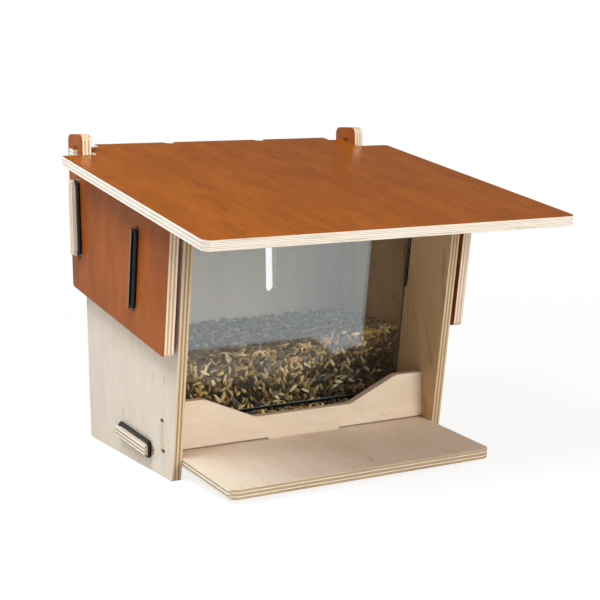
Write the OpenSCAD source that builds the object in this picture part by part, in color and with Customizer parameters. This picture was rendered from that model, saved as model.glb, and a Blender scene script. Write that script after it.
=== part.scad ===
// Flat-pack bird feeder: plywood boards that plug together and are locked by rubber rings.
// Millimetres, +Z up, the front faces -Y, and the origin is the middle of the base.

/* [Boards] */
// Thickness of every plywood board
board = 6.5; // [5:0.1:8]
// Clear width between the two side walls
inner_w = 190; // [160:1:240]
// Depth of a side wall along its bottom edge
wall_depth = 140; // [138:1:170]
// Height of the roof's top face above the base, at the back plane
roof_z = 208; // [205:1:240]
// Slope of the roof, which the front edges and the window stand square to
roof_tilt = 10; // [6:0.5:14]

/* [Roof lid] */
// Width of the roof across its overhanging sides
roof_w = 257; // [240:1:300]
// Distance of the roof's front edge from the back plane
roof_reach = 252; // [220:1:300]
// Distance of the roof's side strips from the back plane, which leaves the ears free
strip_back = 34; // [31:0.5:45]
// Distance of the roof's lower rear edge from the back plane
roof_back = 0.3; // [0.2:0.1:2]
// Gap between the roof's rear tongue and each side wall
tongue_gap = 2.5; // [1:0.1:6]
// Gap between the roof's neck in front of the hinge tabs and each ear
neck_gap = 0.9; // [0.5:0.1:2]
// Radius of the roof's front corners
roof_corner = 5; // [2:0.5:15]
// Radius of the half-round notches in the roof's rear edge
roof_notch_r = 4; // [2:0.1:6]

/* [Hinge] */
// Distance of the lid's hinge axis from the back plane
hinge_back = 13.5; // [12.5:0.1:15]
// Width of the lid's hinge tabs
hinge_tab = 7.5; // [5:0.1:9]
// Stretch of a hinge tab that stands out of its ear
hinge_tab_out = 3; // [1:0.1:8]
// Running clearance of a hinge tab's corners in the ear
hinge_play = 0.3; // [0.2:0.05:0.6]
// Length of an ear along the roof
ear_len = 27.5; // [26:0.5:30]
// Height of an ear's top above the hinge axis
ear_rise = 13; // [9:0.5:14]
// Radius of an ear's top corners
ear_corner = 5; // [2:0.5:7]

/* [Cheeks and walls] */
// Height of a cheek's bottom edge at the back plane
cheek_z = 109.5; // [95:0.5:120]
// Radius of the boards' small outer corners
small_corner = 3; // [1:0.5:6]

/* [Floor and lip] */
// Height of the floor's top face at the back plane
floor_z = 25; // [22:0.5:30]
// Slope of the floor down to the front
floor_tilt = 4; // [2:0.5:5]
// Distance of the landing board's front edge from the back plane
floor_reach = 210.5; // [180:0.5:240]
// Radius of the landing board's front corners
floor_corner = 6; // [2:0.5:15]
// Distance of the middle of the floor's side tabs from the back plane
floor_tab_back = 84.7; // [70:0.1:90]
// Distance of the lip's front face from the back plane
lip_back = 130.5; // [126:0.5:136]
// Height of the lip's ends above the floor
lip_h = 32; // [28:0.5:45]
// Height of the lip's dip above the floor
dip_h = 16; // [9:0.5:24]
// Width of the dip along its bottom
dip_low_w = 73; // [40:1:90]
// Width of the dip along the lip's top
dip_top_w = 146; // [110:1:150]
// Radius of the dip's corners
dip_corner = 12; // [2:0.5:16]
// Width of the tab under the lip, which plugs into the floor
lip_foot_w = 54.6; // [30:0.1:80]
// Length of the lip's end tabs, which end flush with the walls
lip_tab_h = 17.6; // [10:0.1:20]
// Height of the middle of the lip's end tabs above the floor
lip_tab_z = 11; // [10:0.5:15]
// Gap under the lip on both sides of its foot
lip_gap = 0.6; // [0.2:0.1:1.5]

/* [Window] */
// Thickness of the clear pane
window_t = 3; // [2:0.1:5]
// Distance of the pane's front face from the back plane, taken down to the base
window_back = 91; // [85:0.5:96]
// Height of the pane's bottom edge along the pane, which leaves the feed gap
window_low = 28; // [26:0.5:34]
// Gap between the pane's top edge and the shut roof
window_gap = 2; // [0.5:0.1:6]
// Height of the middle of the pane's tabs along the pane
window_tab_z = 135; // [125:0.5:140]
// Width of the slots that the pane's tabs lean back in
window_slot_w = 5; // [4:0.1:6]
// Stretch of a pane tab outside its ring
window_head = 1; // [0.6:0.1:4]

/* [Back panel] */
// Distance of the back panel's rear face from the back plane
back_inset = 11.5; // [9:0.5:14]
// Height of the back panel's bottom edge
back_low = 5; // [0:0.5:9]
// Height of the middle of the back panel's tabs
back_tab_z = 158.5; // [150:0.5:159]
// Gap between the back panel and the lid's rear edge as it swings past
back_gap = 0.6; // [0.4:0.1:2]
// Distance between the two hanging slots
hang_pitch = 72.5; // [50:0.5:100]
// Width of a hanging slot
hang_w = 8.6; // [5:0.1:12]
// Length of a hanging slot between the middles of its round ends
hang_len = 52; // [20:1:70]
// Height of a hanging slot's lower round end
hang_z = 100; // [90:0.5:110]
// Width of each rear tongue of the floor in the back panel
rear_tongue_w = 36; // [20:1:60]
// Distance between the floor's two rear tongues
rear_tongue_pitch = 100; // [70:1:110]

/* [Tabs and rings] */
// Length of a locked tab along its slot
tab_len = 52; // [40:0.5:54]
// Diameter of the rubber rings' cord
ring_cord = 2.8; // [2:0.1:3.6]
// Clearance between a ring's cord and the boards on both sides of it
ring_play = 0.1; // [0.05:0.05:0.3]
// Radius inside a ring's corners
ring_bend = 0.8; // [0.7:0.05:1]
// Room between a ring's ends and the bottoms of its notches
ring_slack = 0.7; // [0.65:0.05:1.2]
// Stretch of a plywood tab outside its ring
tab_head = 2.2; // [1:0.1:6]
// Radius of a plywood tab's outer corners
tab_corner = 1.6; // [0.5:0.1:2]
// Clearance on each side of a tab in its slot
slot_play = 0.2; // [0.1:0.05:0.4]
// Clearance between the boards' side edges and the walls
side_play = 0.2; // [0.1:0.05:0.6]
// Gap between the shut lid and the boards that it rests on
seat_play = 0.2; // [0.1:0.05:0.5]

/* [Seed] */
// Height of the seed at the back panel
seed_back_z = 79; // [50:1:110]
// Height of the seed at the window
seed_front_z = 68; // [50:1:110]
// Height of the seed in the tray, above the floor at the lip
seed_tray_h = 11; // [4:0.5:12]
// Gap between the seed and the boards around it
seed_gap = 0.3; // [0.1:0.05:0.6]

/* [Hidden] */
$fn = 48;
birch = "burlywood";
stain = "sienna";
rubber = "dimgray";
pane = "lightcyan";
pane_alpha = 0.4;
grain = "tan";

// The back plane, which the walls' rear edges lie in
y_back = roof_reach / 2;

// Places across the width: both faces of a wall and of a cheek
ring_gap = ring_cord + 2 * ring_play;
wall_in = inner_w / 2;
wall_out = wall_in + board;
cheek_in = wall_out + ring_gap;
cheek_out = cheek_in + board;

// Side view points, as distance from the back plane and height
function from_roof(along, off) = [
    along * cos(roof_tilt) - off * sin(roof_tilt),
    roof_z + along * sin(roof_tilt) + off * cos(roof_tilt)
];
function floor_top(y) = floor_z + y * tan(floor_tilt);
function floor_under(y) = floor_top(y) - board / cos(floor_tilt);
function window_rear(z) = -window_back - z * tan(roof_tilt) + window_t / cos(roof_tilt);
front_along = -wall_depth * cos(roof_tilt) - roof_z * sin(roof_tilt);
seat_off = -board - seat_play;
ear_foot_z = roof_z - (board + seat_play) / cos(roof_tilt) - ear_len * tan(roof_tilt);

// Hinge axis, along the roof and in the side view, and the radius that the tabs sweep
hinge_along = -(hinge_back + board / 2 * sin(roof_tilt)) / cos(roof_tilt);
hinge = from_roof(hinge_along, -board / 2);
hinge_sweep = norm([hinge_tab, board]) / 2;
hinge_r = hinge_sweep + hinge_play;
ear_top = hinge[1] + ear_rise;

// The roof's edges along its slope, and the radius that its rear edge sweeps
roof_front_along = -roof_reach / cos(roof_tilt);
strip_along = -strip_back / cos(roof_tilt);
rear_along = -(roof_back + board * sin(roof_tilt)) / cos(roof_tilt);
rear_sweep = norm([rear_along - hinge_along, board / 2]);
tongue_w = inner_w - 2 * tongue_gap;
neck_w = 2 * (cheek_in - neck_gap);

// The window's top edge along the pane, and the back panel's top edge
window_top = (roof_z - window_back * tan(roof_tilt)) * cos(roof_tilt) - board - window_gap;
back_top = hinge[1] - rear_sweep - back_gap;

// Notches for the rings, and how far the tabs reach from a wall's inner face
notch_deep = ring_cord + ring_slack;
back_tab_reach = cheek_out + ring_gap + tab_head - wall_in;
window_tab_reach = cheek_out + ring_gap + window_head - wall_in;
floor_tab_reach = wall_out + ring_gap + tab_head - wall_in;
wall_notch = wall_out - wall_in;
cheek_notch = cheek_out - wall_in;

// The floor's edges and tabs along its slope, and the lip's ends and foot
floor_front = -floor_reach / cos(floor_tilt);
floor_rear = -(back_inset + board + side_play + board * sin(floor_tilt)) / cos(floor_tilt);
tongue_reach = (board + side_play) / cos(floor_tilt);
floor_tab_along = -floor_tab_back / cos(floor_tilt);
lip_mid = -lip_back + board / 2;
lip_floor = floor_top(-lip_back);
lip_foot_z = floor_under(-lip_back + board);
lip_foot_along = (lip_mid - board / 2 * sin(floor_tilt)) / cos(floor_tilt);
tongue_mid_z = floor_top(-back_inset - board / 2) - board / 2 / cos(floor_tilt);

// Thickness of a board where it crosses another one at the floor's slope
crossing = board / cos(floor_tilt) + board * tan(floor_tilt);

// How far tabs and tongues are drawn into their own board
root = 1;

// How far the seed stands out under the window before it slopes down to the lip
seed_toe = 1;

// Outline points with every corner rounded by its own radius
function unit(v) = v / norm(v);
function turned(v, angle) = [v[0] * cos(angle) - v[1] * sin(angle), v[0] * sin(angle) + v[1] * cos(angle)];
function corner_arc(p, a, b, r, steps) =
    let (
        ua = unit(a - p),
        ub = unit(b - p),
        half = acos(ua * ub) / 2,
        centre = p + unit(ua + ub) * r / sin(half),
        start = p + ua * r / tan(half) - centre,
        end = p + ub * r / tan(half) - centre,
        sweep = (180 - 2 * half) * sign(cross(start, end))
    )
    [for (k = [0 : steps]) centre + turned(start, sweep * k / steps)];
function rounded(corners, radii, steps = 8) =
    let (n = len(corners))
    [
        for (i = [0 : n - 1])
            each radii[i] == 0
                ? [corners[i]]
                : corner_arc(corners[i], corners[(i + n - 1) % n], corners[(i + 1) % n], radii[i], steps)
    ];

// Frames: a side view extruded along X from x, a board lying in the floor or roof plane, a standing board
module side_view(x) {
    translate([x, y_back, 0]) rotate([90, 0, 90]) children();
}
module in_floor_plane() {
    translate([0, y_back, floor_z]) rotate([floor_tilt, 0, 0]) children();
}
module in_roof_plane() {
    translate([0, y_back, roof_z]) rotate([roof_tilt, 0, 0]) children();
}
module in_window_plane() {
    translate([0, y_back - window_back, 0]) rotate([roof_tilt + 90, 0, 0]) children();
}
module standing(y) {
    translate([0, y_back + y, 0]) rotate([90, 0, 0]) children();
}
module both_sides() {
    for (turn = [0, 1]) mirror([turn, 0]) children();
}
module on_left() {
    mirror([1, 0, 0]) children();
}

// Places of the tabs in the side view, with the tab's length along local Y
module at_back_tab() {
    translate([-back_inset - board / 2, back_tab_z]) children();
}
module at_window_tab() {
    translate([-window_back, 0]) rotate(roof_tilt) translate([window_t / 2, window_tab_z]) children();
}
module at_floor_tab() {
    translate([0, floor_z]) rotate(floor_tilt) translate([floor_tab_along, -board / 2]) rotate(90) children();
}
module at_lip_tab() {
    translate([lip_mid, lip_floor + lip_tab_z]) children();
}

// Routed slot for a tab of that length and thickness, with round ends that just clear the tab's square corners
module slot(length, thick) {
    wide = thick + 2 * slot_play;
    tuck = sqrt(pow(wide, 2) - pow(thick + slot_play, 2)) / 2;
    middle = length / 2 - tuck;
    square([wide, 2 * middle], center = true);
    for (end = [-1, 1]) translate([0, end * middle]) circle(d = wide);
}
module window_slot() {
    translate([(window_t + 2 * slot_play - window_slot_w) / 2, 0]) slot(tab_len, window_slot_w - 2 * slot_play);
}

// Side tab that reaches out from a wall's inner face, with a pair of ring notches at each place
module tab(reach, notches) {
    start = wall_in - side_play - root;
    tip = wall_in + reach;
    half = tab_len / 2;
    head = reach - max(notches) - ring_gap;
    corner = min(tab_corner, 0.8 * head);
    difference() {
        polygon(rounded([[start, -half], [tip, -half], [tip, half], [start, half]], [0, corner, corner, 0]));
        for (x = notches, end = [-1, 1])
            translate([wall_in + x, end * tab_len / 2 - notch_deep]) square([ring_gap, 2 * notch_deep]);
    }
}

// Rubber ring round a tab of that thickness, lying in the local XY plane
module ring(thick) {
    half_x = thick / 2 + ring_play / 2;
    half_y = tab_len / 2 - notch_deep + ring_slack;
    arc_x = half_x - ring_bend;
    arc_y = half_y - ring_bend;
    bend = ring_bend + ring_cord / 2;
    color(rubber) {
        for (end = [-1, 1]) {
            translate([end * (half_x + ring_cord / 2), arc_y, 0])
                rotate([90, 0, 0]) cylinder(d = ring_cord, h = 2 * arc_y);
            translate([-arc_x, end * (half_y + ring_cord / 2), 0])
                rotate([0, 90, 0]) cylinder(d = ring_cord, h = 2 * arc_x);
        }
        for (corner = [[1, 1, 0], [-1, 1, 90], [-1, -1, 180], [1, -1, 270]])
            translate([corner[0] * arc_x, corner[1] * arc_y, 0])
                rotate(corner[2]) rotate_extrude(angle = 90) translate([bend, 0]) circle(d = ring_cord);
    }
}

module side_wall() {
    outline = rounded(
        [
            [0, 0], [-wall_depth, 0], from_roof(front_along, seat_off), [0, roof_z + seat_off / cos(roof_tilt)]
        ],
        [small_corner, small_corner / 2, 0, 0]
    );
    color(birch) side_view(wall_in) linear_extrude(board) difference() {
        polygon(outline);
        at_back_tab() slot(tab_len, board);
        at_window_tab() window_slot();
        at_floor_tab() slot(tab_len, board);
        at_lip_tab() slot(lip_tab_h, board);
        translate(hinge) circle(hinge_r);
    }
}
module side_wall_left() {
    on_left() side_wall();
}
module side_wall_right() {
    side_wall();
}

module cheek() {
    low_off = (cheek_z - roof_z) * cos(roof_tilt);
    outline = rounded(
        [
            [0, cheek_z], from_roof(front_along, low_off), from_roof(front_along, seat_off), [-ear_len, ear_foot_z],
            [-ear_len, ear_top], [0, ear_top]
        ],
        [small_corner, small_corner, 0, 0, ear_corner, ear_corner]
    );
    color(stain) side_view(cheek_in) linear_extrude(board) difference() {
        polygon(outline);
        at_back_tab() slot(tab_len, board);
        at_window_tab() window_slot();
        translate(hinge) circle(hinge_r);
    }
}
module cheek_left() {
    on_left() cheek();
}
module cheek_right() {
    cheek();
}

module back_panel() {
    half = wall_in - side_play;
    color(birch) standing(-back_inset) linear_extrude(board) difference() {
        union() {
            translate([-half, back_low]) square([2 * half, back_top - back_low]);
            both_sides() translate([0, back_tab_z]) tab(back_tab_reach, [wall_notch, cheek_notch]);
        }
        both_sides() {
            translate([hang_pitch / 2, hang_z]) {
                translate([-hang_w / 2, 0]) square([hang_w, hang_len]);
                for (end = [0, hang_len]) translate([0, end]) circle(d = hang_w);
            }
            translate([rear_tongue_pitch / 2, tongue_mid_z])
                rotate(90) slot(rear_tongue_w, crossing);
        }
    }
}

module floor_board() {
    half = wall_in - side_play;
    outline = rounded(
        [[-half, floor_rear], [-half, floor_front], [half, floor_front], [half, floor_rear]],
        [0, floor_corner, floor_corner, 0]
    );
    color(birch) in_floor_plane() translate([0, 0, -board]) linear_extrude(board) difference() {
        union() {
            polygon(outline);
            both_sides() {
                translate([0, floor_tab_along]) tab(floor_tab_reach, [wall_notch]);
                translate([(rear_tongue_pitch - rear_tongue_w) / 2, floor_rear - root])
                    square([rear_tongue_w, root + tongue_reach]);
            }
        }
        translate([0, lip_foot_along])
            square([lip_foot_w + 2 * slot_play, crossing + 2 * slot_play], center = true);
    }
}

module front_lip() {
    half = wall_in - side_play;
    top = lip_floor + lip_h;
    low = floor_top(-lip_back + board) + lip_gap;
    dip = lip_floor + dip_h;
    tab_low = lip_floor + lip_tab_z - lip_tab_h / 2;
    tab_top = tab_low + lip_tab_h;
    outline = rounded(
        [
            [-half, low], [half, low], [half, tab_low], [wall_out, tab_low], [wall_out, tab_top], [half, tab_top],
            [half, top], [dip_top_w / 2, top], [dip_low_w / 2, dip], [-dip_low_w / 2, dip], [-dip_top_w / 2, top],
            [-half, top], [-half, tab_top], [-wall_out, tab_top], [-wall_out, tab_low], [-half, tab_low]
        ],
        [0, 0, 0, 0, 0, 0, 0, dip_corner, dip_corner, dip_corner, dip_corner, 0, 0, 0, 0, 0]
    );
    color(birch) standing(-lip_back + board) linear_extrude(board) {
        polygon(outline);
        translate([-lip_foot_w / 2, lip_foot_z]) square([lip_foot_w, low - lip_foot_z + root]);
    }
}

module window_pane() {
    half = wall_in - side_play;
    color(pane, pane_alpha) in_window_plane() translate([0, 0, -window_t]) linear_extrude(window_t) {
        translate([-half, window_low]) square([2 * half, window_top - window_low]);
        both_sides() translate([0, window_tab_z]) tab(window_tab_reach, [wall_notch, cheek_notch]);
    }
}

module roof_lid() {
    outline = rounded(
        [
            [-roof_w / 2, roof_front_along], [roof_w / 2, roof_front_along], [roof_w / 2, strip_along],
            [neck_w / 2, strip_along], [neck_w / 2, hinge_along], [tongue_w / 2, hinge_along],
            [tongue_w / 2, rear_along], [-tongue_w / 2, rear_along], [-tongue_w / 2, hinge_along],
            [-neck_w / 2, hinge_along], [-neck_w / 2, strip_along], [-roof_w / 2, strip_along]
        ],
        [roof_corner, roof_corner, small_corner, 0, 0, 0, 0, 0, 0, 0, 0, small_corner]
    );
    tab_reach = cheek_out + hinge_tab_out;
    color(stain) in_roof_plane() translate([0, 0, -board]) linear_extrude(board) difference() {
        union() {
            polygon(outline);
            translate([-tab_reach, hinge_along - hinge_tab / 2]) square([2 * tab_reach, hinge_tab]);
        }
        both_sides() translate([hang_pitch / 2, rear_along]) circle(roof_notch_r);
    }
}

module seed_fill() {
    half = wall_in - seed_gap;
    rear = -back_inset - board - seed_gap;
    lip = -lip_back + board + seed_gap;
    feed_z = window_low * cos(roof_tilt) - seed_gap;
    feed_front = -window_back - window_low * sin(roof_tilt) - seed_toe;
    gap = seed_gap / cos(roof_tilt);
    color(grain) side_view(-half) linear_extrude(2 * half) polygon([
        [rear, floor_top(rear) + seed_gap], [lip, floor_top(lip) + seed_gap], [lip, floor_top(lip) + seed_tray_h],
        [feed_front, feed_z], [window_rear(feed_z) + gap, feed_z],
        [window_rear(seed_front_z) + gap, seed_front_z], [rear, seed_back_z]
    ]);
}

module ring_back_outer() {
    side_view(cheek_out + ring_gap / 2) at_back_tab() ring(board);
}
module ring_back_inner() {
    side_view(wall_out + ring_gap / 2) at_back_tab() ring(board);
}
module ring_window_outer() {
    side_view(cheek_out + ring_gap / 2) at_window_tab() ring(window_t);
}
module ring_window_inner() {
    side_view(wall_out + ring_gap / 2) at_window_tab() ring(window_t);
}
module ring_floor() {
    side_view(wall_out + ring_gap / 2) at_floor_tab() ring(board);
}

side_wall_left();
side_wall_right();
cheek_left();
cheek_right();
back_panel();
floor_board();
front_lip();
window_pane();
roof_lid();
seed_fill();
on_left() ring_back_outer();  // ring_back_outer_left
ring_back_outer();  // ring_back_outer_right
on_left() ring_back_inner();  // ring_back_inner_left
ring_back_inner();  // ring_back_inner_right
on_left() ring_window_outer();  // ring_window_outer_left
ring_window_outer();  // ring_window_outer_right
on_left() ring_window_inner();  // ring_window_inner_left
ring_window_inner();  // ring_window_inner_right
on_left() ring_floor();  // ring_floor_left
ring_floor();  // ring_floor_right
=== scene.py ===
"""Looks of a plug-together plywood bird feeder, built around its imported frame."""

from collections import namedtuple
from itertools import product
from math import cos, exp, pi, radians, sin

import bmesh
import bpy
import numpy as np
from mathutils import Matrix, Vector, noise


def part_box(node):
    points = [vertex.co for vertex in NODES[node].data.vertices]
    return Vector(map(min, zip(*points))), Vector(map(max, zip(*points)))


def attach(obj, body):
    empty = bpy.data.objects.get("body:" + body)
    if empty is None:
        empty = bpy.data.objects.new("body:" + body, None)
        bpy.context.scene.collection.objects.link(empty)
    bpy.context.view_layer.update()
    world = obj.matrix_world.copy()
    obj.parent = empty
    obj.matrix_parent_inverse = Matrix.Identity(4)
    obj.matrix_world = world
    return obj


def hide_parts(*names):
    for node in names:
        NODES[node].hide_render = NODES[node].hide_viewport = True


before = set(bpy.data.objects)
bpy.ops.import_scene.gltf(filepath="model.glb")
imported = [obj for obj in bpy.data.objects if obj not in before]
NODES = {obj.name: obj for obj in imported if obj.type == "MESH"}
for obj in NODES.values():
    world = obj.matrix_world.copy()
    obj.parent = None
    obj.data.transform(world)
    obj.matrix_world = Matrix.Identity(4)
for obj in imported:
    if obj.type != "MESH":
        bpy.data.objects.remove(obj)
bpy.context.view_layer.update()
MM = 0.001

# Camera, as fitted to the photograph: its place in millimetres, its turn and its focal length in pixels
IMAGE_PX = 600
FOCAL_PX = 1401.56
CAMERA_PLACE = Vector((-448.78, -801.63, 240.44)) * MM
CAMERA_YAW, CAMERA_PITCH, CAMERA_ROLL = 0.5109, -0.1457, -0.0121
SENSOR_MM = 36.0

# The frame's body that the seed rides on
HOUSING = "housing"

X_AXIS, Y_AXIS, Z_AXIS = Vector((1, 0, 0)), Vector((0, 1, 0)), Vector((0, 0, 1))


def rgb(red, green, blue):
    """A colour as it looks on a screen, from 0 to 255, as the linear colour that a shader takes."""
    def linear(c):
        c /= 255
        return c / 12.92 if c <= 0.04045 else ((c + 0.055) / 1.055) ** 2.4
    return (linear(red), linear(green), linear(blue), 1.0)


Board = namedtuple("Board", "normal low thick")
# A direction that no board lies along, so that it tells a board's two faces apart
UPPER_SIDE = Vector((1, 2, 4))


def board(node):
    """The unit normal of a flat node's large faces, the lower face's place along it, and the thickness."""
    areas = {}
    for face in NODES[node].data.polygons:
        outward = face.normal if face.normal.dot(UPPER_SIDE) > 0 else -face.normal
        normal = tuple(round(c, 3) for c in outward)
        areas[normal] = areas.get(normal, 0.0) + face.area
    normal = Vector(max(areas, key=areas.get)).normalized()
    depths = [normal.dot(v.co) for v in NODES[node].data.vertices]
    return Board(normal, min(depths), max(depths) - min(depths))


class Graph:
    """An emptied node tree, of a new material or of the world, and short calls that fill it."""

    def __init__(self, name, owner=None):
        self.owner = owner or bpy.data.materials.new(name)
        self.owner.use_nodes = True
        self.tree = self.owner.node_tree
        self.tree.nodes.clear()

    def feed(self, socket, value):
        if isinstance(value, bpy.types.NodeSocket):
            self.tree.links.new(value, socket)
        else:
            socket.default_value = value

    def node(self, kind, inputs=None, **settings):
        made = self.tree.nodes.new("ShaderNode" + kind)
        for key, value in settings.items():
            setattr(made, key, value)
        for key, value in (inputs or {}).items():
            self.feed(made.inputs[key], value)
        return made

    def math(self, operation, a, b=0.0):
        return self.node("Math", {0: a, 1: b}, operation=operation).outputs[0]

    def dot(self, vector, axis):
        return self.node("VectorMath", {0: vector, 1: axis}, operation="DOT_PRODUCT").outputs["Value"]

    def times(self, vector, scale):
        return self.node("VectorMath", {0: vector, 1: scale}, operation="MULTIPLY").outputs["Vector"]

    def mix(self, factor, a, b, blend="MIX"):
        made = self.node("Mix", {0: factor, 6: a, 7: b}, data_type="RGBA", blend_type=blend)
        return made.outputs[2]

    def between(self, value, low, high, start=0.0, end=1.0):
        """A smooth step from start to end while the value goes from low to high."""
        inputs = {"Value": value, "From Min": low, "From Max": high, "To Min": start, "To Max": end}
        return self.node("MapRange", inputs, interpolation_type="SMOOTHSTEP").outputs[0]

    def ramp(self, factor, stops, interpolation="LINEAR"):
        made = self.node("ValToRGB", {"Fac": factor})
        ramp = made.color_ramp
        ramp.interpolation = interpolation
        while len(ramp.elements) < len(stops):
            ramp.elements.new(0.5)
        for element, (position, colour) in zip(ramp.elements, stops):
            element.position = position
            element.color = colour
        return made.outputs["Color"]

    def noise(self, vector, stretch, detail=2.0, roughness=0.5, distortion=0.0):
        inputs = {"Vector": self.times(vector, stretch), "Scale": 1.0, "Detail": detail,
                  "Roughness": roughness, "Distortion": distortion}
        return self.node("TexNoise", inputs).outputs[0]

    def attribute(self, name):
        return self.node("Attribute", attribute_name=name).outputs["Fac"]

    def sight(self, *kinds):
        """1 for rays from the camera and, where they come straight from it, for those kinds of ray."""
        path = self.node("LightPath").outputs
        first = self.math("LESS_THAN", path["Diffuse Depth"], 0.5)
        sighted = path["Is Camera Ray"]
        for kind in kinds:
            sighted = self.math("MAXIMUM", sighted, self.math("MULTIPLY", path[kind], first))
        return sighted

    def finish(self, shader):
        self.node("OutputMaterial", {"Surface": shader.outputs[0]})
        return self.owner


# Plywood: two colours of the face veneer, those of its fibres and marks, its roughness and shine,
# how strong its figure is, and how far its tone is blotched instead of streaked
Veneer = namedtuple("Veneer", "pale deep fibre mark rough shine figure blotch")
PALE_BIRCH = Veneer(
    rgb(224, 213, 199), rgb(216, 204, 189), rgb(206, 192, 174), rgb(150, 122, 94),
    rough=0.6, shine=0.12, figure=0.05, blotch=0.75)
WARM_BIRCH = Veneer(
    rgb(230, 216, 199), rgb(220, 204, 183), rgb(194, 170, 142), rgb(138, 98, 62),
    rough=0.6, shine=0.12, figure=0.06, blotch=0.7)
# Painted shade: a darker, warmer copy of the birch for the side walls' inner faces, which lie in shade
SHADED_BIRCH = Veneer(
    rgb(222, 194, 154), rgb(206, 174, 132), rgb(164, 126, 86), rgb(110, 76, 48),
    rough=0.6, shine=0.12, figure=0.4, blotch=0.3)
ROOF_STAIN = Veneer(
    rgb(167, 92, 24), rgb(146, 76, 19), rgb(119, 56, 14), rgb(76, 36, 14),
    rough=0.26, shine=0.24, figure=0.08, blotch=0.72)
CHEEK_STAIN = Veneer(
    rgb(164, 89, 33), rgb(139, 72, 25), rgb(115, 56, 18), rgb(80, 40, 18),
    rough=0.42, shine=0.06, figure=0.08, blotch=0.75)
# Its edges: colours of the plies along their grain and across it, and of the glue lines
Edge = namedtuple("Edge", "pale end glue")
GOLD_EDGE = Edge(rgb(240, 226, 203), rgb(205, 176, 136), rgb(118, 90, 60))
# The side walls' edges: the plies' own golden colour, darkened further as painted shade from the roof
DARK_SHADED_EDGE = Edge(rgb(214, 194, 162), rgb(166, 136, 98), rgb(86, 66, 44))
# Painted shade: a duller, greyer copy of the cheek edges for the right cheek, whose front edge lies in more
# shade
SHADED_CHEEK_EDGE = Edge(rgb(236, 224, 206), rgb(208, 188, 160), rgb(132, 108, 84))
FLOOR_EDGE = Edge(rgb(246, 237, 221), rgb(182, 159, 128), rgb(108, 86, 62))
# The lip's edges: long-grain plies painted darker as shade on the lip's top edge, end grain pale
LIP_EDGE = Edge(rgb(198, 176, 143), rgb(232, 219, 200), rgb(142, 118, 88))
PALE_EDGE = Edge(rgb(246, 240, 230), rgb(238, 228, 213), rgb(138, 124, 112))
EDGE_SHINE = 0.15
# Where the five plies end, as shares of the thickness, and half the width of the glue line between two
PLY_ENDS = (0.25, 0.38, 0.62, 0.75)
GLUE_LINE = 0.022
# Depth under a face that still shows the face veneer, as a share of the thickness
FACE_SHARE = 0.03
# Colour of the painted shade on a board towards the seed, and how far above the seed it reaches
PAINTED_SEED_SHADE = rgb(104, 108, 100)
PAINTED_SHADE_REACH = 75 * MM
# How often the noises of faces and edges change: per metre along the face grain and across it, and per
# thickness of the board
STREAKS, BLOTCHES, FIGURE = (6, 24, 3), (22, 66, 3), (5, 26, 3)
FIBRES, PORES, DASHES = (42, 420, 3), (170, 1500, 3), (30, 170, 3)
EDGE_STREAKS, EDGE_SPECKS, EDGE_PATCHES = (60, 60, 22), (900, 900, 30), (26, 26, 9)
# Growth lines in one unit of the figure's noise, and the share of cells without a dash
FIGURE_LINES = 9.0
DASHLESS = 0.86
# How far fibres, pores and dashes cover the veneer's own colour
FIBRE_SHOW, PORE_SHOW, DASH_SHOW = 0.18, 0.1, 0.65
# How far streaks, specks, patches and glue lines cover the plies' own colour, and how rough an edge is
STREAK_SHOW, SPECK_SHOW, PATCH_SHOW, GLUE_SHOW = 0.4, 0.2, 0.45, 0.6
EDGE_ROUGH = (0.78, 0.78, 0.78, 1)
# Height of the relief that fibres and pores leave
FIBRE_RELIEF = 0.06 * MM


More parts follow.
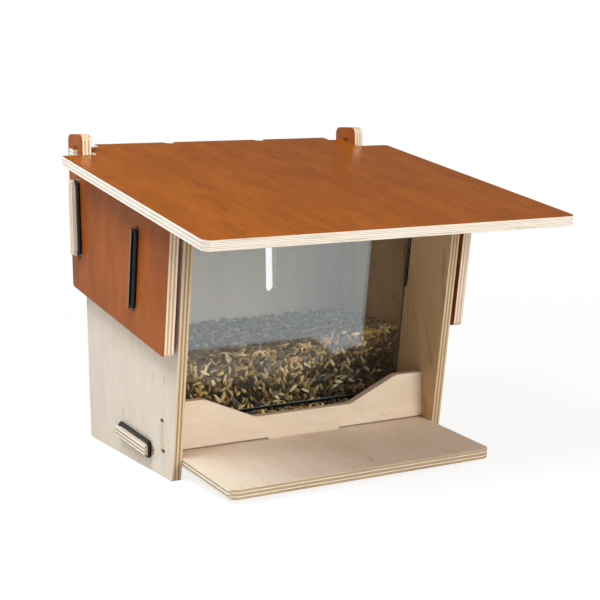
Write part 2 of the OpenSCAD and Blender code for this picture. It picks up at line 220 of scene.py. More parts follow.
def plywood(node, timber):
    """Plywood for a flat node: a veneer on each face, five plies on every edge."""
    normal, low, thick = board(node)
    grain = (timber.grain - normal * timber.grain.dot(normal)).normalized()
    across = normal.cross(grain)
    edges = timber.edges
    g = Graph("ply_" + node)
    coords = g.node("TexCoord")
    place = coords.outputs["Object"]
    depth = g.math("DIVIDE", g.math("SUBTRACT", g.dot(place, normal), low), thick)
    along = g.math("ADD", g.dot(place, grain), timber.shift)
    local = g.node("CombineXYZ", {"X": along, "Y": g.dot(place, across), "Z": depth}).outputs[0]

    # Faces: broad tone, figure lines, fibres, pores and a few short dark dashes
    streaks = g.noise(local, STREAKS, 3.0)
    blotches = g.noise(local, BLOTCHES, 6.0, 0.74, 0.4)
    field = g.noise(local, FIGURE, 3.0, 0.45, 0.3)
    lines = g.math("FRACT", g.math("MULTIPLY", field, FIGURE_LINES))
    figure = g.between(g.math("ABSOLUTE", g.math("SUBTRACT", lines, 0.5)), 0.43, 0.5)
    fibre = g.noise(local, FIBRES, 4.0, 0.6)
    pore = g.between(g.noise(local, PORES, 1.0), 0.66, 0.76)
    cells = g.node("TexVoronoi", {"Vector": g.times(local, DASHES), "Scale": 1.0}, feature="F1")
    lot = g.node("SeparateColor", {"Color": cells.outputs["Color"]}).outputs[0]
    chosen = g.between(lot, DASHLESS, DASHLESS + 0.01)
    dash = g.math("MULTIPLY", g.between(cells.outputs["Distance"], 0.15, 0.05), chosen)

    def face(veneer):
        blotched = g.math("MULTIPLY", blotches, veneer.blotch)
        tone = g.math("ADD", g.math("MULTIPLY", streaks, 1 - veneer.blotch), blotched)
        colour = g.mix(g.between(tone, 0.34, 0.66), veneer.deep, veneer.pale)
        colour = g.mix(g.math("MULTIPLY", figure, veneer.figure), colour, veneer.fibre)
        colour = g.mix(g.between(fibre, 0.42, 0.78, 0.0, FIBRE_SHOW), colour, veneer.fibre)
        colour = g.mix(g.math("MULTIPLY", pore, PORE_SHOW), colour, veneer.mark)
        return g.mix(g.math("MULTIPLY", dash, DASH_SHOW), colour, veneer.mark)

    # Edge: plies that turn by a quarter from one to the next, so that every other one shows end grain
    ends = g.math("ABSOLUTE", g.dot(coords.outputs["Normal"], grain))
    turned = 0.0
    glue = 0.0
    for end in PLY_ENDS:
        turned = g.math("SUBTRACT", g.math("GREATER_THAN", depth, end), turned)
        gap = g.math("ABSOLUTE", g.math("SUBTRACT", depth, end))
        glue = g.math("MAXIMUM", glue, g.math("LESS_THAN", gap, GLUE_LINE))
    turned = g.math("ABSOLUTE", turned)
    end_grain = g.math("ABSOLUTE", g.math("SUBTRACT", g.between(ends, 0.2, 0.8), turned))
    streak = g.noise(local, EDGE_STREAKS, 3.0, 0.65)
    speck = g.noise(local, EDGE_SPECKS, 2.0)
    patch = g.between(g.noise(local, EDGE_PATCHES, 1.0), 0.56, 0.7)
    edge = g.mix(end_grain, edges.pale, edges.end)
    edge = g.mix(g.between(streak, 0.45, 0.75, 0.0, STREAK_SHOW), edge, edges.end)
    specked = g.between(speck, 0.55, 0.7)
    patched = g.math("MULTIPLY", patch, end_grain)
    for mark, show in ((specked, SPECK_SHOW), (patched, PATCH_SHOW), (glue, GLUE_SHOW)):
        edge = g.mix(g.math("MULTIPLY", mark, show), edge, edges.glue)

    rim = g.math("MINIMUM", depth, g.math("SUBTRACT", 1.0, depth))
    on_edge = g.between(rim, FACE_SHARE * 0.6, FACE_SHARE * 1.4)
    faces = g.mix(g.math("GREATER_THAN", depth, 0.5), face(timber.low), face(timber.high))
    # Painted shade: the faces get darker towards the seed's level, to the strength that the board gives
    if timber.dust:
        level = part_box("seed_fill")[1].z
        low_down = g.between(g.dot(place, Z_AXIS), level + PAINTED_SHADE_REACH, level, 0.0, timber.dust)
        faces = g.mix(low_down, faces, PAINTED_SEED_SHADE)
    colour = g.mix(on_edge, faces, edge)
    smooth = g.math("ADD", g.math("MULTIPLY", fibre, 0.12), timber.low.rough - 0.06)
    rough = g.mix(on_edge, smooth, EDGE_ROUGH)
    shine = g.between(on_edge, 0.0, 1.0, timber.low.shine, EDGE_SHINE)
    relief = g.math("SUBTRACT", g.math("MULTIPLY", fibre, 0.5), pore)
    height = g.mix(on_edge, relief, g.math("ADD", streak, speck))
    bump = g.node("Bump", {"Height": height, "Strength": 0.2, "Distance": FIBRE_RELIEF})
    shader = g.node("BsdfPrincipled", {
        "Base Color": colour, "Roughness": rough, "Specular IOR Level": shine, "Normal": bump.outputs[0]})
    return g.finish(shader)


# Pane: its own colour, the painted shade of its cut edges and tabs, the painted colour of the tabs' ends,
# which stands in for the stained cheeks seen shimmering through them, and the index and tint of its
# polished skin
PANE_CLEAR = rgb(244, 249, 248)
PANE_EDGE = rgb(14, 24, 27)
PANE_END = rgb(124, 104, 84)
PANE_COAT = 1.86
PANE_TINT = rgb(216, 245, 255)
# What each of its faces lets through of a lamp's light
PANE_PASS = (0.95, 0.95, 0.95, 1)
# Its own index, how much of it lets light through, and how rough the dust on it is where there is most
PANE_INDEX = 1.49
PANE_THROUGH = 0.996
PANE_SMEAR = 0.05
# How often the dust on it changes per metre
PANE_DUST = (60, 60, 60)
# Where the pane goes into the walls and is painted dark as shade, and how soft that border is
PANE_SLOT_X = 95 * MM
PANE_SLOT_BLUR = 0.5 * MM
# Height of the band painted dark at its foot, as shade where its bottom edge shows, and how soft that
# border is
PANE_FOOT = 1.9 * MM
PANE_FOOT_BLUR = 0.3 * MM


def acrylic(node):
    """Clear acrylic that lets the lamps through, with a trace of dust, and with cut edges and tabs painted
    dark as shade.
    """
    normal, low, thick = board(node)
    g = Graph("clear_acrylic")
    coords = g.node("TexCoord")
    place = coords.outputs["Object"]
    depth = g.math("DIVIDE", g.math("SUBTRACT", g.dot(place, normal), low), thick)
    rim = g.math("MINIMUM", depth, g.math("SUBTRACT", 1.0, depth))
    aside = g.math("ABSOLUTE", g.dot(place, X_AXIS))
    in_slot = g.between(aside, PANE_SLOT_X - PANE_SLOT_BLUR, PANE_SLOT_X + PANE_SLOT_BLUR)
    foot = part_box(node)[0].z + PANE_FOOT
    at_foot = g.between(g.dot(place, Z_AXIS), foot + PANE_FOOT_BLUR, foot - PANE_FOOT_BLUR)
    at_cut = g.between(rim, 0.03, 0.09)
    # Painted shade: the cut edges, the tabs in the slots and the foot band are dark and opaque, and the
    # tabs' ends are painted the colour of the cheeks seen through them
    dark = g.math("MAXIMUM", g.math("MAXIMUM", at_cut, in_slot), at_foot)
    facing = g.between(g.math("ABSOLUTE", g.dot(coords.outputs["Normal"], X_AXIS)), 0.5, 0.8)
    cut = g.mix(g.math("MULTIPLY", facing, in_slot), PANE_EDGE, PANE_END)
    dust = g.noise(place, PANE_DUST, 4.0)
    smear = g.between(dust, 0.3, 0.9, 0.0, PANE_SMEAR)
    glass = g.node("BsdfPrincipled", {
        "Base Color": g.mix(dark, PANE_CLEAR, cut), "IOR": PANE_INDEX,
        "Coat Weight": g.between(dark, 0.0, 1.0, 1.0, 0.0), "Coat IOR": PANE_COAT,
        "Specular Tint": PANE_TINT,
        "Transmission Weight": g.between(dark, 0.0, 1.0, PANE_THROUGH, 0.0),
        "Specular IOR Level": g.between(dark, 0.0, 1.0, 0.5, 0.12),
        "Roughness": g.math("ADD", smear, g.between(dark, 0.0, 1.0, 0.0, 0.4))})
    clear = g.node("BsdfTransparent", {"Color": PANE_PASS})
    lamp = g.node("LightPath").outputs["Is Shadow Ray"]
    return g.finish(g.node("MixShader", {0: lamp, 1: glass.outputs[0], 2: clear.outputs[0]}))


# Rubber: its colour without and with bloom, how often bloom and grit change per metre, and how high the
# grit stands
RUBBER_BLACK, RUBBER_BLOOM = rgb(13, 12, 10), rgb(38, 34, 28)
BLOOM, GRIT = (420, 420, 420), (2200, 2200, 2200)
GRIT_RELIEF = 0.05 * MM


def rubber():
    """Matte black rubber with a dusty bloom."""
    g = Graph("black_rubber")
    place = g.node("TexCoord").outputs["Object"]
    bloom = g.noise(place, BLOOM, 4.0, 0.6)
    colour = g.mix(g.between(bloom, 0.4, 0.75), RUBBER_BLACK, RUBBER_BLOOM)
    grit = g.noise(place, GRIT, 2.0)
    bump = g.node("Bump", {"Height": grit, "Strength": 0.2, "Distance": GRIT_RELIEF})
    rough = g.between(bloom, 0.3, 0.8, 0.4, 0.62)
    shader = g.node("BsdfPrincipled", {
        "Base Color": colour, "Roughness": rough, "Specular IOR Level": 0.3, "Normal": bump.outputs[0]})
    return g.finish(shader)


# Distance within which two points are one, turn between faces that still counts as flat, and turn from
# which an edge is eased
WELD_GAP = 0.002 * MM
FLAT_TURN, EASED_TURN = radians(0.3), radians(40)


def soften(node, width):
    """Eases a CAD node's sharp edges, by modifiers alone."""
    piece = NODES[node]
    weld = piece.modifiers.new("weld", "WELD")
    weld.merge_threshold = WELD_GAP
    flat = piece.modifiers.new("flat", "DECIMATE")
    flat.decimate_type = "DISSOLVE"
    flat.angle_limit = FLAT_TURN
    bevel = piece.modifiers.new("bevel", "BEVEL")
    bevel.width = width
    bevel.segments = 2
    bevel.limit_method = "ANGLE"
    bevel.angle_limit = EASED_TURN
    bevel.use_clamp_overlap = True
    piece.modifiers.new("normals", "WEIGHTED_NORMAL")


def dress(node, material):
    """Gives a CAD node one material."""
    slots = NODES[node].data.materials
    slots.clear()
    slots.append(material)


# Boards: the direction of the face grain, the veneers of the face at the lower end of the board's normal
# and of the other face, the edges, a shift that gives each board its own figure, and how strongly painted
# shade darkens it towards the seed
Timber = namedtuple("Timber", "grain low high edges shift dust", defaults=(0.0,))
BOARDS = {
    "side_wall_left": Timber(Z_AXIS, PALE_BIRCH, SHADED_BIRCH, DARK_SHADED_EDGE, 0.0),
    "side_wall_right": Timber(Z_AXIS, SHADED_BIRCH, PALE_BIRCH, DARK_SHADED_EDGE, 0.7),
    "cheek_left": Timber(Z_AXIS, CHEEK_STAIN, CHEEK_STAIN, GOLD_EDGE, 1.3),
    "cheek_right": Timber(Z_AXIS, CHEEK_STAIN, CHEEK_STAIN, SHADED_CHEEK_EDGE, 2.1),
    "back_panel": Timber(Z_AXIS, WARM_BIRCH, WARM_BIRCH, GOLD_EDGE, 2.9, 0.34),
    "floor_board": Timber(Y_AXIS, WARM_BIRCH, WARM_BIRCH, FLOOR_EDGE, 3.9),
    "front_lip": Timber(X_AXIS, WARM_BIRCH, WARM_BIRCH, LIP_EDGE, 4.4),
    "roof_lid": Timber(Y_AXIS, ROOF_STAIN, ROOF_STAIN, PALE_EDGE, 5.2),
}
# Widths of the eased edges of the boards and of the pane
EDGE_BEVEL = 0.3 * MM
PANE_BEVEL = 0.35 * MM


def boards_and_rings():
    """Gives boards, pane and rings their materials, and eases the edges of boards and pane."""
    for node, timber in BOARDS.items():
        dress(node, plywood(node, timber))
        soften(node, EDGE_BEVEL)
    dress("window_pane", acrylic("window_pane"))
    soften("window_pane", PANE_BEVEL)
    black = rubber()
    for node in NODES:
        if node.startswith("ring_"):
            dress(node, black)


# Seed: the kinds of grain with their size in millimetres, where they are widest, how deep their crease is,
# their share of the mix and their colours from dark to pale
Grain = namedtuple("Grain", "length width thick widest crease share colours")
GRAINS = {
    "oats": Grain(
        8.8, 2.8, 1.9, widest=0.85, crease=0.3, share=0.4,
        colours=(rgb(152, 116, 58), rgb(228, 198, 134), rgb(255, 242, 204))),
    "wheat": Grain(
        6.4, 3.0, 2.2, widest=0.95, crease=0.35, share=0.2,
        colours=(rgb(108, 72, 36), rgb(190, 142, 80), rgb(238, 202, 142))),
    "canary": Grain(
        5.2, 2.2, 1.8, widest=1.0, crease=0.0, share=0.13,
        colours=(rgb(138, 104, 36), rgb(218, 176, 78), rgb(248, 222, 144))),
    "sunflower": Grain(
        9.6, 4.6, 2.6, widest=1.25, crease=0.0, share=0.23,
        colours=(rgb(18, 16, 15), rgb(44, 40, 36), rgb(128, 122, 110))),
    "millet": Grain(
        2.4, 2.3, 2.1, widest=1.0, crease=0.0, share=0.04,
        colours=(rgb(150, 112, 44), rgb(208, 168, 78), rgb(234, 208, 142))),
}
# Points around a grain and rings of them along it, and the width of its crease as an angle
GRAIN_SIDES, GRAIN_RINGS = 7, 4
CREASE_WIDTH = 0.5
# How far the grains' size varies, how far they tip and roll from lying flat, and the start of the random
# draws
SIZE_LEAST, SIZE_MOST = 0.82, 1.12
GRAIN_TIP, GRAIN_ROLL = radians(24), radians(40)
SEED_DRAW = 11
# How often the flecks of a husk change per metre, and their height
FLECKS = (1500, 1500, 1500)
FLECK_RELIEF = 0.1 * MM
# Colour of the painted shade between the grains, which darkens those that lie deep
SEED_GAP_SHADE = rgb(14, 8, 3)
# How deep the grains are strewn under the surface, in millimetres like all lengths of the seed, the least
# distance between two of their middles, their gap to boards and pane, and how many grains are tried
SEED_SHELL = 7.0
SEED_SPACING = 2.45
SEED_GAP = 0.15
SEED_TRIES = 110000
# Shares of the tries, added up, that aim at the pane and at the seed's top, the rest aims at the tray
AIM_PANE, AIM_TOP = 0.34, 0.8
# Room that the middles of grains keep when they are aimed: from walls and back panel, from the pane below
# the surface and at it, from the lip, from the floor and from the pane's foot
WALL_ROOM, PANE_ROOM, TOP_ROOM, LIP_ROOM, FLOOR_ROOM, FOOT_ROOM = 1.5, 1, 2, 1.2, 1, 2.0
# How far seed is aimed below the pane's foot, and behind it from the tray
FEED_REACH = 4
# Steps from a cell of the store of places to itself and its neighbours
AROUND = tuple(product((-1, 0, 1), repeat=3))
# Height of the seed in the tray above the floor at the lip
TRAY_DEPTH = 9.5
# Waves in the surface: their height, their lengths behind the pane and in the tray, and where these two
# cut the noise
SEED_WAVE = 1.2
TOP_WAVE, TRAY_WAVE = 26, 24
TOP_CUT, TRAY_CUT = 0.7, 4.2
# How far the surface drops from the back panel to the pane, in the left half and at the right wall
SEED_DROP, SEED_DROP_RIGHT = 12.0, 1.5
# How much painted shade darkens the seed's top behind the pane, the width of the rim there that is painted
# bright, and the share of their painted shade that deep grains keep at the rim
SEED_TOP_SHADE, SEED_RIM = 0.23, 18.0
RIM_SHADE = 0.3
# How much painted shade darkens the seed below that rim, in the left half and at the right wall
SEED_GLOOM, SEED_GLOOM_RIGHT = 0.06, 0.3
# The core's distance from the seed's surface, from the back panel, from the floor, and from lip and walls
CORE_INSET, CORE_BACK, CORE_FLOOR, CORE_SIDE = 4.0, 1.0, 0.5, 1
# Its colours, painted dark as shade, from the middles of its lumps to their borders, and how many lumps lie
# along a metre
CORE_COLOURS = [(0.0, rgb(70, 50, 24)), (0.5, rgb(32, 22, 11)), (1.0, rgb(12, 8, 5))]
CORE_LUMPS = 260.0


def grain_shape(grain):
    """Points of one grain along X, its faces, and each point's place along it from 0 to 1."""
    points, along = [(-grain.length / 2, 0, 0)], [0.0]
    for ring in range(1, GRAIN_RINGS + 1):
        share = ring / (GRAIN_RINGS + 1)
        swell = sin(pi * share ** grain.widest)
        for side in range(GRAIN_SIDES):
            turn = 2 * pi * side / GRAIN_SIDES
            crease = grain.crease * exp(-((turn - 1.5 * pi) / CREASE_WIDTH) ** 2)
            reach = swell * (1 - crease) / 2
            points.append((
                (share - 0.5) * grain.length,
                reach * grain.width * cos(turn),
                reach * grain.thick * sin(turn)))
            along.append(share)
    points.append((grain.length / 2, 0, 0))
    along.append(1.0)
    last = len(points) - 1
    faces = []
    for side in range(GRAIN_SIDES):
        after = (side + 1) % GRAIN_SIDES
        faces.append((0, 1 + after, 1 + side))
        for ring in range(GRAIN_RINGS - 1):
            a, b = 1 + ring * GRAIN_SIDES, 1 + (ring + 1) * GRAIN_SIDES
            faces.append((a + side, a + after, b + after, b + side))
        top = 1 + (GRAIN_RINGS - 1) * GRAIN_SIDES
        faces.append((top + side, top + after, last))
    return np.array(points), faces, np.array(along)


class Hopper:
    """The planes, in millimetres, that hold the seed."""

    def __init__(self):
        pane, floor = board("window_pane"), board("floor_board")
        self.pane = np.array(pane.normal)
        self.pane_front, self.pane_rear = pane.low / MM, (pane.low + pane.thick) / MM
        self.floor = np.array(floor.normal)
        self.floor_top = (floor.low + floor.thick) / MM
        self.half_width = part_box("side_wall_right")[0].x / MM
        self.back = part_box("back_panel")[0].y / MM
        self.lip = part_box("front_lip")[1].y / MM
        self.pane_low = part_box("window_pane")[0].z / MM
        self.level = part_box("seed_fill")[1].z / MM

    def floor_at(self, y):
        return (self.floor_top - self.floor[1] * y) / self.floor[2]

    def pane_at(self, z):
        """Where the pane's rear face stands at that height."""
        return (self.pane_rear - self.pane[2] * z) / self.pane[1]

    def surface(self, x, y):
        """Height of the seed's surface behind the pane."""
        wave = SEED_WAVE * noise.noise(Vector((x / TOP_WAVE, y / TOP_WAVE, TOP_CUT)))
        drop = SEED_DROP - (SEED_DROP - SEED_DROP_RIGHT) * max(0.0, x / self.half_width)
        away = (self.back - y) / (self.back - self.pane_at(self.level))
        return self.level + wave - drop * min(1.0, away)

    def tray(self, x, y):
        """Height of the seed's surface in front of the pane."""
        edge = self.pane_at(self.pane_low)
        lip_level = self.floor_at(self.lip) + TRAY_DEPTH
        wave = SEED_WAVE * noise.noise(Vector((x / TRAY_WAVE, y / TRAY_WAVE, TRAY_CUT)))
        return lip_level + (self.pane_low - lip_level) * (y - self.lip) / (edge - self.lip) + wave


def strew(hopper, random):
    """Places of the grains: for each its middle, the direction that it lies flat against, and its painted
    shade.
    """
    wide = hopper.half_width - WALL_ROOM
    upward = np.array((0.0, 0.0, 1.0))
    taken = {}
    places = []

    def free(p):
        key = tuple(int(c // SEED_SPACING) for c in p)
        near = (taken.get((key[0] + i, key[1] + j, key[2] + k), ()) for i, j, k in AROUND)
        if any(sum((p - q) ** 2) < SEED_SPACING ** 2 for group in near for q in group):
            return False
        taken.setdefault(key, []).append(p)
        return True

    def painted_dimming(shade, inward, gloom):
        """The painted shade of a grain that lies so far inward from the rim that is painted bright."""
        inside = min(1.0, inward / SEED_RIM)
        return shade * (RIM_SHADE + (1 - RIM_SHADE) * inside) + gloom * inside

    for _ in range(SEED_TRIES):
        x = random.uniform(-wide, wide)
        under = random.uniform(0, SEED_SHELL)
        # Painted shade: grains that lie deeper under the surface are darker
        shade = under / SEED_SHELL
        where = random.random()
        if where < AIM_PANE:
            top = hopper.surface(x, hopper.pane_at(hopper.level))
            z = random.uniform(hopper.pane_low - FEED_REACH, top)
            point = np.array((x, hopper.pane_at(z), z)) + hopper.pane * (under + PANE_ROOM)
            facing = hopper.pane
            gloom = SEED_GLOOM + (SEED_GLOOM_RIGHT - SEED_GLOOM) * max(0.0, x / hopper.half_width)
            shade = painted_dimming(shade, top - z, gloom)
        elif where < AIM_TOP:
            y = random.uniform(hopper.pane_at(hopper.level) + TOP_ROOM, hopper.back - WALL_ROOM)
            point = np.array((x, y, hopper.surface(x, y) - under))
            facing = upward
            shade = painted_dimming(shade, point @ hopper.pane - hopper.pane_rear, SEED_TOP_SHADE)
        else:
            y = random.uniform(hopper.lip + LIP_ROOM, hopper.pane_at(hopper.pane_low) + FEED_REACH)
            z = min(hopper.tray(x, y), hopper.pane_low - FOOT_ROOM) - under
            if z < hopper.floor_at(y) + FLOOR_ROOM:
                continue
            point = np.array((x, y, z))
            facing = upward
        if free(point):
            places.append((point, facing, shade))
    return places


def settle(point, turn, half, hopper):
    """The grain's middle, pushed clear of the boards and the pane."""
    point = point.copy()
    walls = [
        (np.array((1.0, 0, 0)), -hopper.half_width),
        (np.array((-1.0, 0, 0)), -hopper.half_width),
        (np.array((0, -1.0, 0)), -hopper.back),
        (np.array((0, 1.0, 0)), hopper.lip),
        (hopper.floor, hopper.floor_top)]
    reach_up = np.sqrt(((half * turn[2]) ** 2).sum())
    if point[2] + reach_up > hopper.pane_low:
        if point @ hopper.pane > hopper.pane_front:
            walls.append((hopper.pane, hopper.pane_rear))
        else:
            walls.append((-hopper.pane, -hopper.pane_front))
    for normal, start in walls:
        reach = np.sqrt(((half * (normal @ turn)) ** 2).sum()) + SEED_GAP
        short = start + reach - point @ normal
        if short > 0:
            point += normal * short
    return point


def lie(facing, random):
    """A grain's axes, as the columns of a matrix, when it lies nearly flat against that direction."""
    side = np.cross(facing, (1.0, 0.0, 0.0))
    side /= np.linalg.norm(side)
    heading = random.uniform(0, 2 * pi)
    long = cos(heading) * np.array((1.0, 0, 0)) + sin(heading) * side
    tip = random.normal(0, GRAIN_TIP)
    long = cos(tip) * long + sin(tip) * facing
    flat = facing - long * (facing @ long)
    flat /= np.linalg.norm(flat)
    broad = np.cross(flat, long)
    roll = random.normal(0, GRAIN_ROLL)
    broad, flat = cos(roll) * broad + sin(roll) * flat, cos(roll) * flat - sin(roll) * broad
    return np.stack((long, broad, flat), axis=1)


def grain_material(kind, grain):
    """Husk of one kind of grain: its own tone, darker flecks and dark tips."""
    g = Graph("seed_" + kind)
    place = g.node("TexCoord").outputs["Object"]
    tone, along = g.attribute("tone"), g.attribute("along")
    dark, middle, pale = grain.colours
    colour = g.ramp(tone, [(0.0, dark), (0.45, middle), (1.0, pale)])
    fleck = g.noise(place, FLECKS, 3.0, 0.6)
    colour = g.mix(g.between(fleck, 0.5, 0.75, 0.0, 0.55), colour, dark)
    tips = g.between(g.math("ABSOLUTE", g.math("SUBTRACT", along, 0.5)), 0.3, 0.5)
    colour = g.mix(g.math("MULTIPLY", tips, 0.5), colour, dark)
    # Painted shade: grains that lie deep or away from the bright rim turn towards the shade colour of the
    # gaps
    colour = g.mix(g.between(g.attribute("deep"), 0.03, 0.4, 0.0, 0.98), colour, SEED_GAP_SHADE)
    bump = g.node("Bump", {"Height": fleck, "Strength": 0.3, "Distance": FLECK_RELIEF})
    rough = g.between(fleck, 0.3, 0.8, 0.4, 0.62)
    shader = g.node("BsdfPrincipled", {
        "Base Color": colour, "Roughness": rough, "Specular IOR Level": 0.15, "Normal": bump.outputs[0]})
    return g.finish(shader)


def new_piece(name, mesh, material):
    """A piece of the housing from a finished mesh."""
    piece = bpy.data.objects.new(name, mesh)
    bpy.context.scene.collection.objects.link(piece)
    mesh.materials.append(material)
    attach(piece, HOUSING)
    return piece


def seed_core(hopper):
    """The bulk of the seed under the strewn grains, painted dark as the shade between them."""
    low, top = hopper.pane_low - CORE_INSET, hopper.level - CORE_INSET
    front = hopper.level - SEED_DROP - CORE_INSET
    rear, lip = hopper.back - CORE_BACK, hopper.lip + CORE_SIDE
    lip_floor = hopper.floor_at(hopper.lip)
    outline = [
        (rear, hopper.floor_at(hopper.back) + CORE_FLOOR),
        (lip, lip_floor + CORE_FLOOR),
        (lip, lip_floor + TRAY_DEPTH - CORE_INSET),
        (hopper.pane_at(low) + CORE_INSET, low),
        (hopper.pane_at(front) + CORE_INSET, front),
        (rear, top)]
    half = hopper.half_width - CORE_SIDE
    made = bmesh.new()
    base = [made.verts.new((-half * MM, y * MM, z * MM)) for y, z in outline]
    face = made.faces.new(base)
    grown = bmesh.ops.extrude_face_region(made, geom=[face])
    moved = [v for v in grown["geom"] if isinstance(v, bmesh.types.BMVert)]
    bmesh.ops.translate(made, vec=Vector((2 * half * MM, 0, 0)), verts=moved)
    bmesh.ops.recalc_face_normals(made, faces=made.faces)
    mesh = bpy.data.meshes.new("seed_core")
    made.to_mesh(mesh)
    made.free()
    g = Graph("seed_core")
    place = g.node("TexCoord").outputs["Object"]
    cells = g.node("TexVoronoi", {"Vector": place, "Scale": CORE_LUMPS}, feature="F1")
    aside = cells.outputs["Distance"]
    shade = g.ramp(aside, CORE_COLOURS)
    bump = g.node("Bump", {"Height": aside, "Strength": 0.6, "Distance": MM})
    shader = g.node("BsdfPrincipled", {
        "Base Color": shade, "Roughness": 0.8, "Specular IOR Level": 0.1, "Normal": bump.outputs[0]})
    return new_piece("seed_core", mesh, g.finish(shader))


def seed():
    """Loose mixed seed in the hopper and the tray, in place of the plain fill."""
    random = np.random.default_rng(SEED_DRAW)
    hopper = Hopper()
    core = seed_core(hopper)
    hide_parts("seed_fill")
    kinds = list(GRAINS)
    shares = [GRAINS[k].share for k in kinds]
    heaps = {k: [] for k in kinds}
    for point, facing, deep in strew(hopper, random):
        kind = kinds[random.choice(len(kinds), p=shares)]
        grain = GRAINS[kind]
        size = random.uniform(SIZE_LEAST, SIZE_MOST)
        turn = lie(facing, random)
        half = np.array((grain.length, grain.width, grain.thick)) / 2 * size
        middle = settle(point, turn, half, hopper)
        heaps[kind].append((middle, turn * size, random.random(), deep))
    for kind, grains in heaps.items():
        shape, faces, along = grain_shape(GRAINS[kind])
        points = np.concatenate([shape @ turn.T + middle for middle, turn, _, _ in grains]) * MM
        count = len(shape)
        every = [tuple(i + k * count for i in face) for k in range(len(grains)) for face in faces]
        mesh = bpy.data.meshes.new("seed_" + kind)
        mesh.from_pydata(points.tolist(), [], every)
        mesh.shade_smooth()
        tones = np.repeat([tone for _, _, tone, _ in grains], count)
        depths = np.repeat([deep for _, _, _, deep in grains], count)
        marks = {"tone": tones, "deep": depths, "along": np.tile(along, len(grains))}
        for name, values in marks.items():
            mesh.attributes.new(name, "FLOAT", "POINT").data.foreach_set("value", values)
        heap = new_piece("seed_" + kind, mesh, grain_material(kind, GRAINS[kind]))
        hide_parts("seed_fill")


WHITE = (1, 1, 1, 1)
# The floor: its width, its colour for light that bounces off it, the colour and glow that are seen near the
# object, where its shadow falls, and the distances between which the floor turns plain white
FLOOR_SIZE = 12
FLOOR_PAPER, FLOOR_SHADED = (0.85, 0.85, 0.85, 1), (0.22, 0.22, 0.22, 1)
FLOOR_GLOW = 0.84
FLOOR_NEAR, FLOOR_FAR = 0.35, 0.9
# The lamps: where they stand, their width, their power and their colour, and the point that they shine at
Lamp = namedtuple("Lamp", "place size watts colour")
LAMPS = {
    "key": Lamp((-0.46, -0.1, 0.78), 0.37, 6.0, (0.94, 0.975, 1.0)),
    "rim": Lamp((-0.6, 0.8, 0.5), 0.3, 1.9, (0.97, 0.99, 1.0)),
    "front": Lamp((0.55, -1.68, 0.72), 0.9, 21, (1.0, 0.955, 0.9)),
}
LAMP_AIM = Vector((0, 0, 0.1))


def stage():
    """White floor that keeps a soft shadow, white surroundings, and soft studio lamps."""
    bpy.ops.mesh.primitive_plane_add(size=FLOOR_SIZE)
    floor = bpy.context.object
    floor.name = "studio_floor"
    g = Graph("studio_floor")
    seen = g.sight("Is Glossy Ray", "Is Transmission Ray")
    paper = g.node("BsdfDiffuse", {"Color": FLOOR_PAPER})
    shaded = g.node("BsdfDiffuse", {"Color": FLOOR_SHADED})
    glow = g.node("Emission", {"Color": WHITE, "Strength": FLOOR_GLOW})
    near = g.node("AddShader", {0: shaded.outputs[0], 1: glow.outputs[0]})
    place = g.node("TexCoord").outputs["Object"]
    away = g.node("VectorMath", {0: place}, operation="LENGTH").outputs["Value"]
    far = g.node("Emission", {"Color": WHITE, "Strength": 1.0})
    fade = g.between(away, FLOOR_NEAR, FLOOR_FAR)
    white = g.node("MixShader", {0: fade, 1: near.outputs[0], 2: far.outputs[0]})
    shader = g.node("MixShader", {0: seen, 1: paper.outputs[0], 2: white.outputs[0]})
    floor.data.materials.append(g.finish(shader))
    surroundings()
    for name, soft_box in LAMPS.items():
        lamp(name, soft_box)


# The room's light: its strength from behind and from the front, the directions along Y between which it
# changes, and its colour
ROOM_BACK, ROOM_FRONT = 0.08, 0.42
ROOM_REAR_Y, ROOM_FRONT_Y = 0.35, -0.5
ROOM_WARMTH = (1.0, 0.94, 0.85, 1)
# The height to which gloss shows the white backdrop instead, and how soft that border is
BACKDROP_HEIGHT = 0.19
BACKDROP_BLUR = 0.1


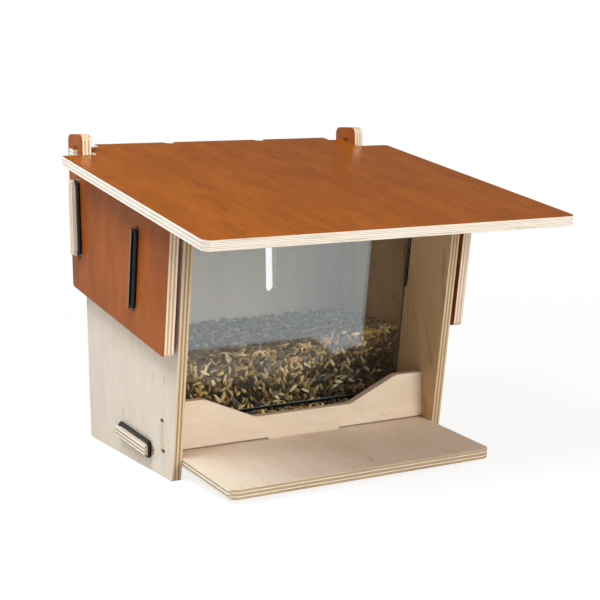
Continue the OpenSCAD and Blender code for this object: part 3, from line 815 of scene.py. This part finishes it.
def surroundings():
    """A white backdrop, and a room that is brighter in front of the object than behind it."""
    world = bpy.data.worlds.new("studio")
    bpy.context.scene.world = world
    g = Graph("studio", world)
    way = g.node("SeparateXYZ", {0: g.node("TexCoord").outputs["Generated"]}).outputs
    strength = g.between(way["Y"], ROOM_REAR_Y, ROOM_FRONT_Y, ROOM_BACK, ROOM_FRONT)
    room = g.node("Background", {"Color": ROOM_WARMTH, "Strength": strength})
    white = g.node("Background", {"Color": WHITE, "Strength": 1.0})
    low = g.between(way["Z"], BACKDROP_HEIGHT + BACKDROP_BLUR, BACKDROP_HEIGHT - BACKDROP_BLUR)
    gloss = g.math("MULTIPLY", g.sight("Is Glossy Ray"), low)
    seen = g.math("MAXIMUM", g.sight("Is Transmission Ray"), gloss)
    shader = g.node("MixShader", {0: seen, 1: room.outputs[0], 2: white.outputs[0]})
    g.node("OutputWorld", {"Surface": shader.outputs[0]})


def lamp(name, soft_box):
    """A square soft box that shines at the middle of the object."""
    light = bpy.data.lights.new(name, "AREA")
    light.shape = "SQUARE"
    light.size = soft_box.size
    light.energy = soft_box.watts
    light.color = soft_box.colour
    box = bpy.data.objects.new(name, light)
    bpy.context.scene.collection.objects.link(box)
    aim = LAMP_AIM - Vector(soft_box.place)
    box.location = soft_box.place
    box.rotation_mode = "QUATERNION"
    box.rotation_quaternion = aim.to_track_quat("-Z", "Y")


def camera():
    """The photograph's viewpoint."""
    ahead = Vector((
        sin(CAMERA_YAW) * cos(CAMERA_PITCH), cos(CAMERA_YAW) * cos(CAMERA_PITCH), sin(CAMERA_PITCH)))
    right = Vector((cos(CAMERA_YAW), -sin(CAMERA_YAW), 0))
    up = right.cross(ahead)
    level = cos(CAMERA_ROLL) * right + sin(CAMERA_ROLL) * up
    upright = cos(CAMERA_ROLL) * up - sin(CAMERA_ROLL) * right
    data = bpy.data.cameras.new("camera")
    data.sensor_width = SENSOR_MM
    data.lens = FOCAL_PX / IMAGE_PX * SENSOR_MM
    eye = bpy.data.objects.new("camera", data)
    bpy.context.scene.collection.objects.link(eye)
    turn = Matrix((level, upright, -ahead)).transposed().to_4x4()
    eye.matrix_world = Matrix.Translation(CAMERA_PLACE) @ turn
    bpy.context.scene.camera = eye


camera()
boards_and_rings()
seed()
stage()
bpy.context.scene.view_settings.view_transform = "Standard"
